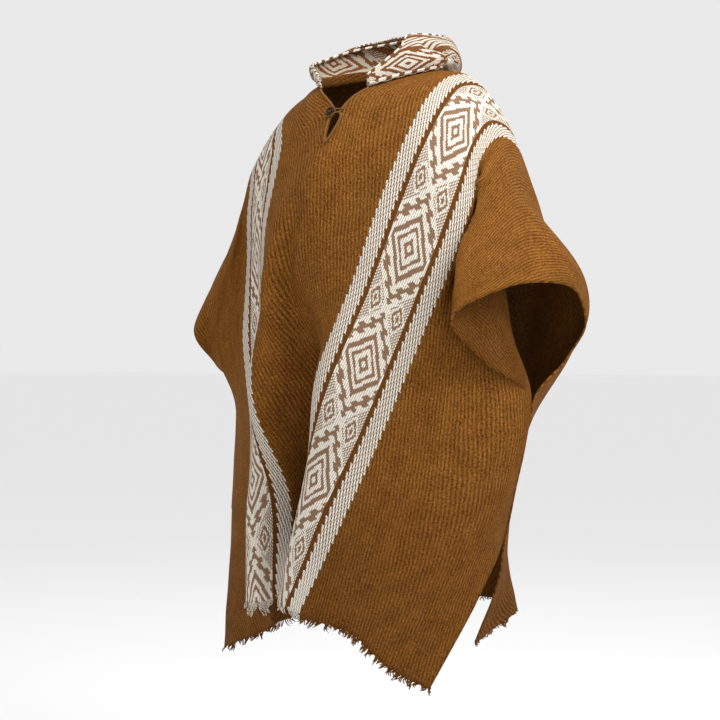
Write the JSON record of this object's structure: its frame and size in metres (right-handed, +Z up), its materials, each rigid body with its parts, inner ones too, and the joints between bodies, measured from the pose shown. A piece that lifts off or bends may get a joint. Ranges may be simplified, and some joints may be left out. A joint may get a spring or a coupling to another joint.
{
  "type": "hooded poncho",
  "caption": "Woven wool poncho with patterned bands, hood, buttoned neck slit, open cuffs and cut fringe, held in the shape it has when worn.",
  "frame": {"origin": "between the shoulders at the base of the neck, where the garment rests on its wearer", "axes": "+X to the wearer's left, -Y to the front, +Z up"},
  "size_m": [0.743, 0.5477, 1.0861],
  "materials": {
    "brown_wool": "heathered brown wool, ribbed weave, fuzzy",
    "patterned_wool": "brown and cream patterned wool weave",
    "button": "dark brown, satin"
  },
  "bodies": {
    "root": {"front_panel": "brown_wool", "back_panel": "brown_wool", "hood": "patterned_wool", "slit_edging": "brown_wool", "button": "button", "button_loop": "brown_wool", "fringe_front": "brown_wool", "fringe_back": "brown_wool"}
  },
  "joints": []
}
